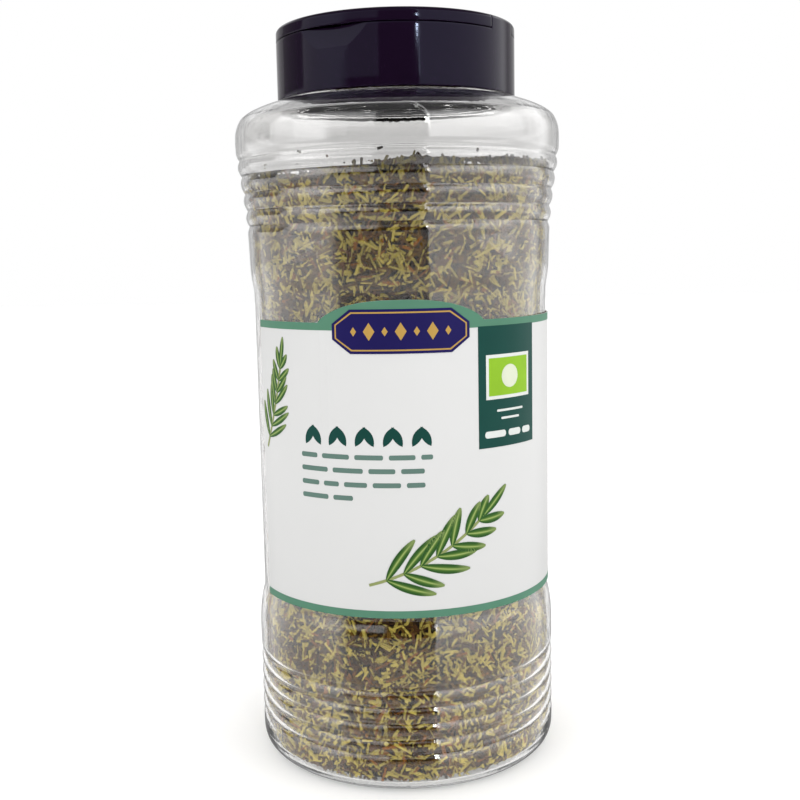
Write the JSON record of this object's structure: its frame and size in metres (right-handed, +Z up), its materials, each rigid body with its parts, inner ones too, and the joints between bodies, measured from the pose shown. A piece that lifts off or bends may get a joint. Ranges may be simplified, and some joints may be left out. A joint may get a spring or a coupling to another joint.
{
  "type": "spice jar of dried rosemary",
  "caption": "Clear plastic catering jar with ribbed shoulders and foot, filled with dried cut rosemary, with a printed wrap label and a dark screw-on cap with lift-up flaps.",
  "frame": {"origin": "centre of the jar's standing base, on the surface that it stands on", "axes": "+Z up along the jar's axis, -Y to the front of the label, +X to the right as seen from the front"},
  "size_m": [0.0916, 0.0916, 0.2064],
  "materials": {
    "clear_plastic": "clear, glossy",
    "printed_film": "coated, semi-gloss print",
    "dried_herb": "dry, matt",
    "cap_plastic": "glossy dark aubergine"
  },
  "bodies": {
    "jar": {"jar_body": "clear_plastic", "label": "printed_film", "rosemary": "dried_herb"},
    "cap": {"cap_base": "cap_plastic"},
    "sprinkle_flap": {"flap_sprinkle": "cap_plastic"},
    "pour_flap": {"flap_pour": "cap_plastic"}
  },
  "joints": [
    {"name": "cap_lift", "type": "slide", "parent": "jar", "child": "cap", "axis": [0, 0, 1], "range_m": [0, 0.022]},
    {"name": "sprinkle_hinge", "type": "hinge", "parent": "cap", "child": "sprinkle_flap", "pos_m": [-0.00302, -0.0053, 0.2063], "axis": [-0.8686, 0.4955, 0], "range_deg": [0, 95]},
    {"name": "pour_hinge", "type": "hinge", "parent": "cap", "child": "pour_flap", "pos_m": [0.00302, 0.0053, 0.2063], "axis": [0.8686, -0.4955, 0], "range_deg": [0, 95]}
  ]
}
